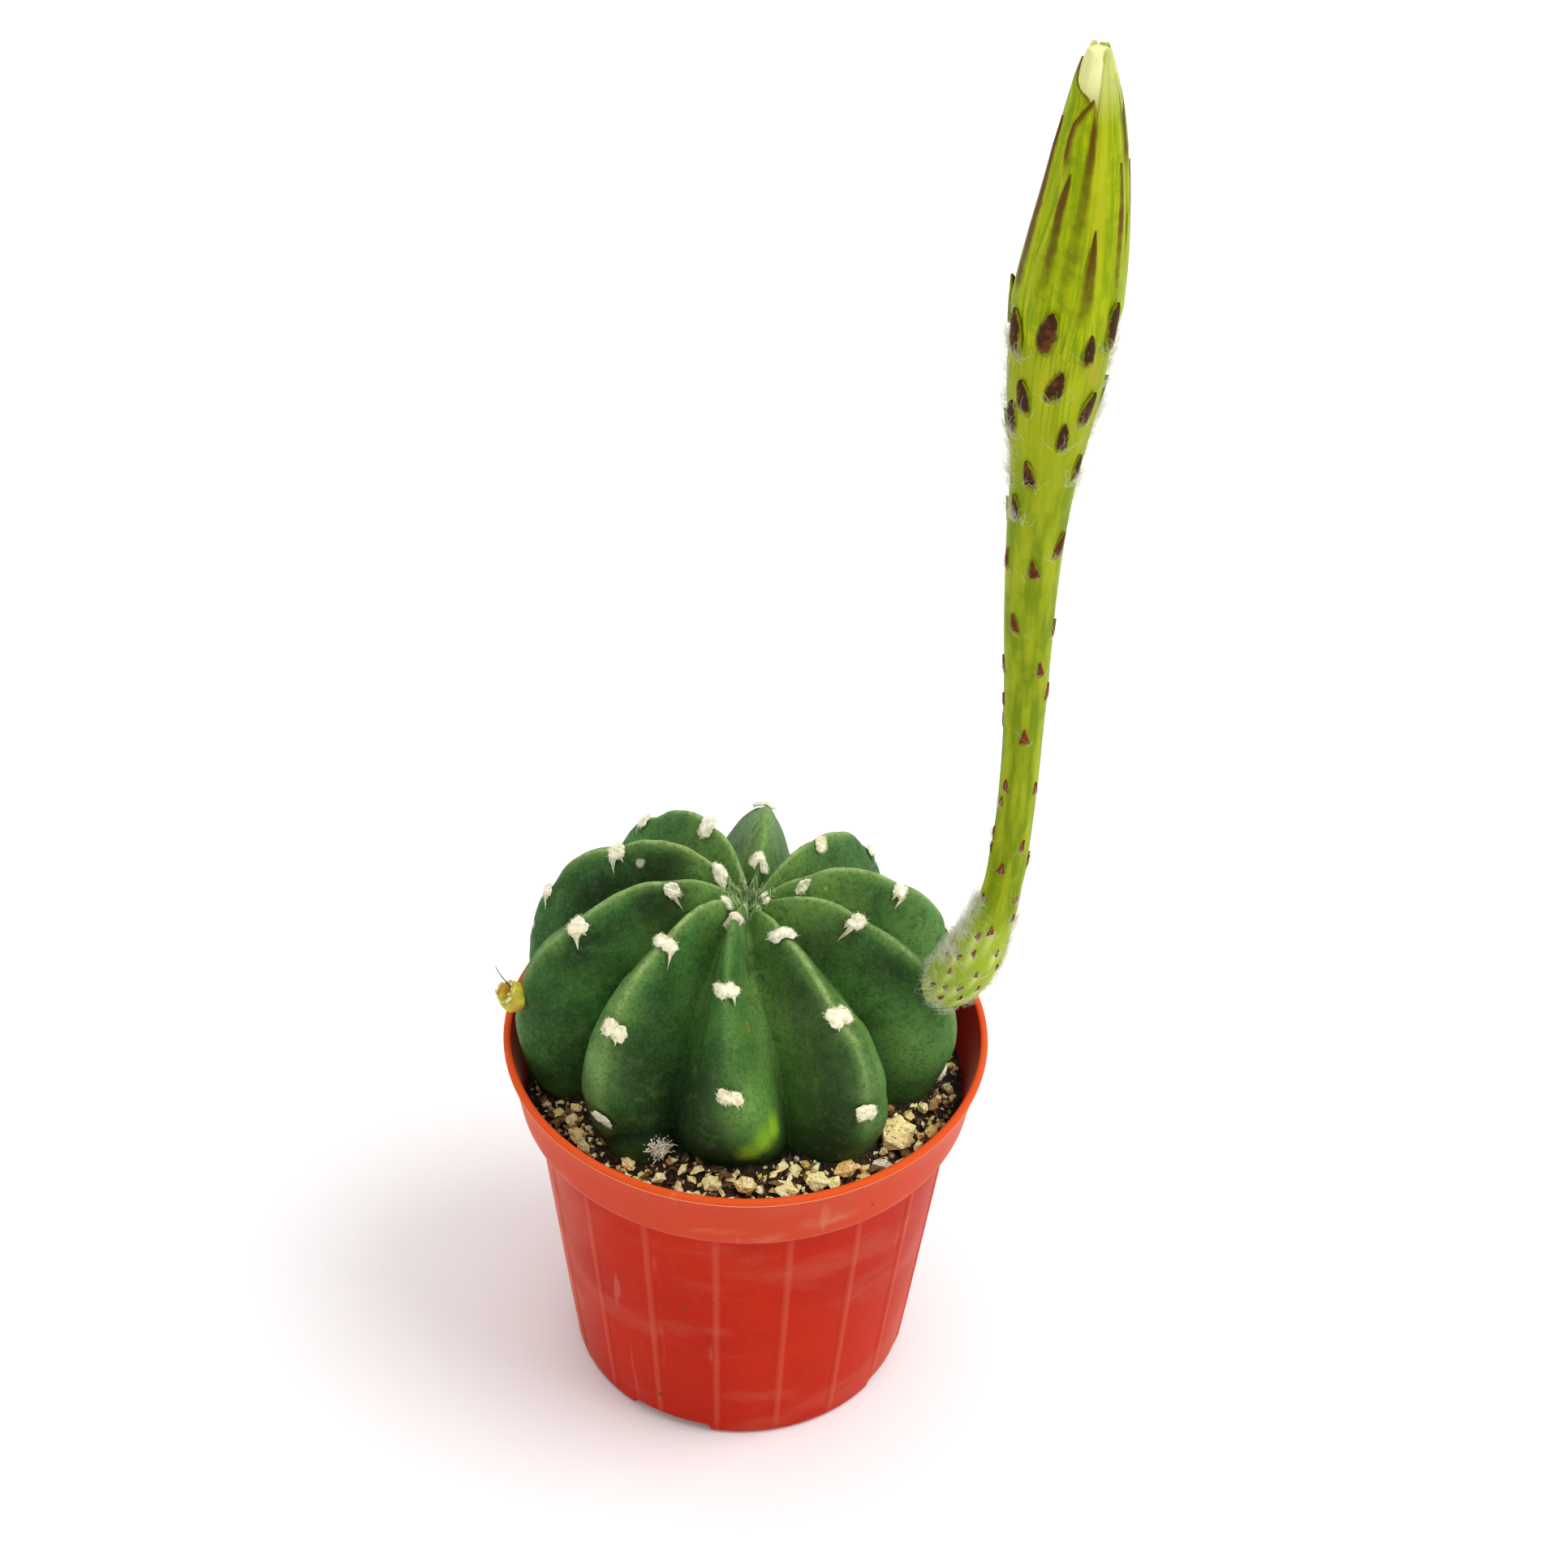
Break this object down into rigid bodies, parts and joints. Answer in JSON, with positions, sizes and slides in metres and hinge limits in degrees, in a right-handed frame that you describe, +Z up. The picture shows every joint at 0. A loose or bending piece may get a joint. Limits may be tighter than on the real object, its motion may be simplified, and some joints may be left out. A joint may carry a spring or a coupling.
{
  "type": "potted cactus",
  "caption": "Small round ribbed cactus with cream woolly areoles and one tall scaly flower stem with a closed bud, in a round plastic nursery pot of peat and pumice grit",
  "frame": {"origin": "The centre of the flat underside of the pot, on the surface it stands on.", "axes": "+Z is up, along the pot's axis and the flower. -Y is the side seen in the picture, where the flower stands on the right, at +X."},
  "size_m": [0.0974, 0.0848, 0.2713],
  "materials": {
    "pot_plastic": "satin",
    "cactus_skin": "satin",
    "peat_soil": "matt",
    "pumice": "matt",
    "flower_green": "satin",
    "dry_calyx": "matt"
  },
  "bodies": {
    "root": {"pot": "pot_plastic", "cactus_body": "cactus_skin", "soil": "peat_soil", "pumice_stone_01": "pumice", "pumice_stone_02": "pumice", "pumice_stone_03": "pumice", "pumice_stone_04": "pumice", "pumice_stone_05": "pumice", "pumice_stone_06": "pumice", "pumice_stone_07": "pumice", "pumice_stone_08": "pumice", "pumice_stone_09": "pumice", "pumice_stone_10": "pumice", "pumice_stone_11": "pumice", "pumice_stone_12": "pumice", "flower_tube": "flower_green", "flower_bud": "flower_green", "old_flower_stub": "dry_calyx"}
  },
  "joints": []
}
